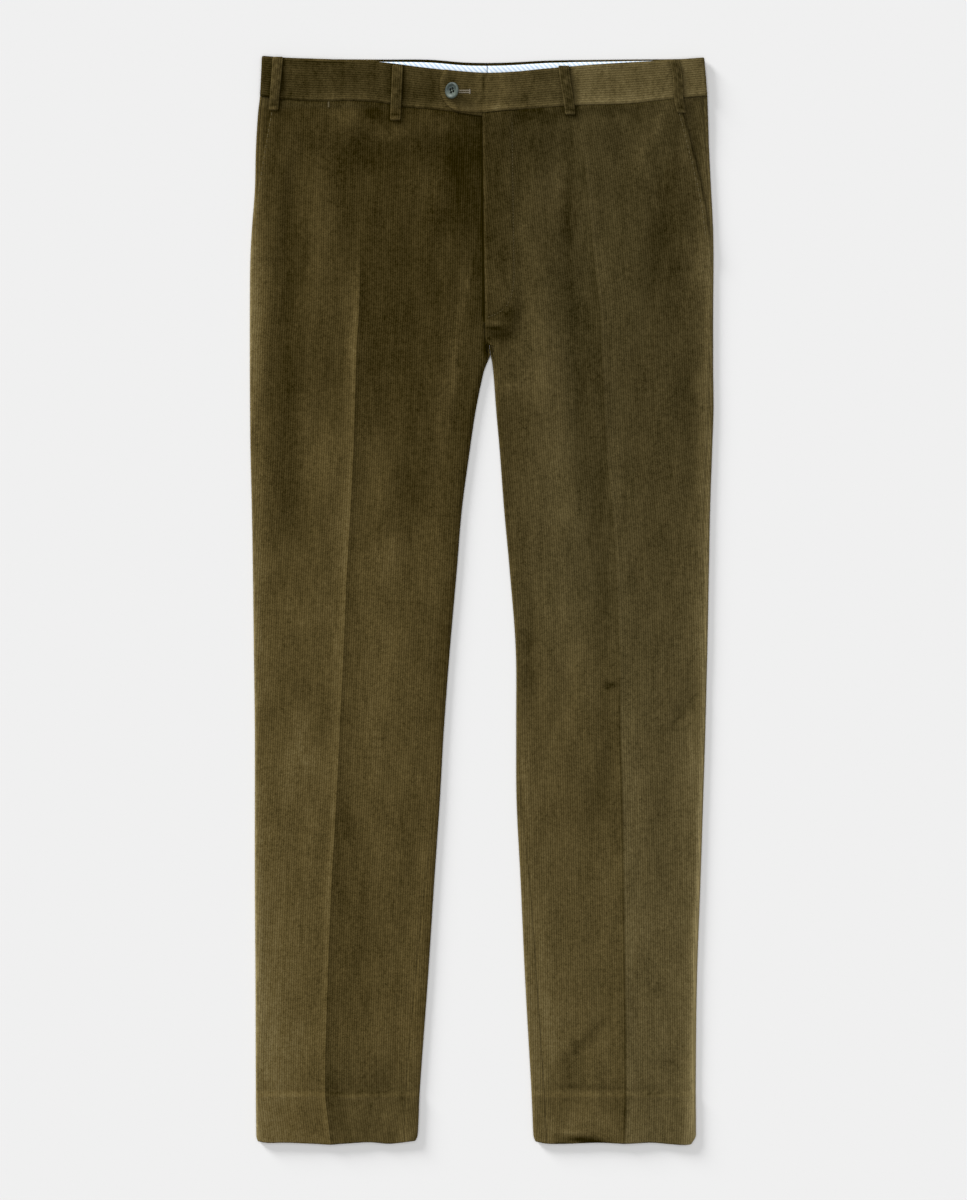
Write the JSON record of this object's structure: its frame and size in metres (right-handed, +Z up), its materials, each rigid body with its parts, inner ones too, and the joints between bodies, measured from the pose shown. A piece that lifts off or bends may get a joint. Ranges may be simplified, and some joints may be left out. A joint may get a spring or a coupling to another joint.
{
  "type": "corduroy trousers",
  "caption": "Flat-front corduroy trousers laid out flat, with slanted pockets, a buttoned waist tab, belt loops, pressed creases and turned-up hems.",
  "frame": {"origin": "middle of the garment's outline, on the surface it lies on", "axes": "+X to the wearer's left, +Y up the garment to the waist, +Z up from the surface through the front side"},
  "size_m": [0.4634, 1.0874, 0.0204],
  "materials": {
    "corduroy": "matt cotton pile with a soft nap, in wales 2.3 mm apart",
    "waist_lining": "smooth pale blue cotton with diagonal white stripes",
    "button": "mottled grey-green, half polished",
    "thread": "matt twisted cotton"
  },
  "bodies": {
    "root": {"front_right": "corduroy", "front_left": "corduroy", "back_right": "corduroy", "back_left": "corduroy", "pocket_facing_right": "corduroy", "pocket_facing_left": "corduroy", "waistband_right": "corduroy", "waistband_left": "corduroy", "waistband_lining_right": "waist_lining", "waistband_lining_left": "waist_lining", "belt_loop_right_side": "corduroy", "belt_loop_right_front": "corduroy", "belt_loop_left_front": "corduroy", "belt_loop_left_side": "corduroy", "belt_loop_back_right": "corduroy", "belt_loop_back_centre": "corduroy", "belt_loop_back_left": "corduroy", "button": "button", "button_shank": "thread"}
  },
  "joints": []
}
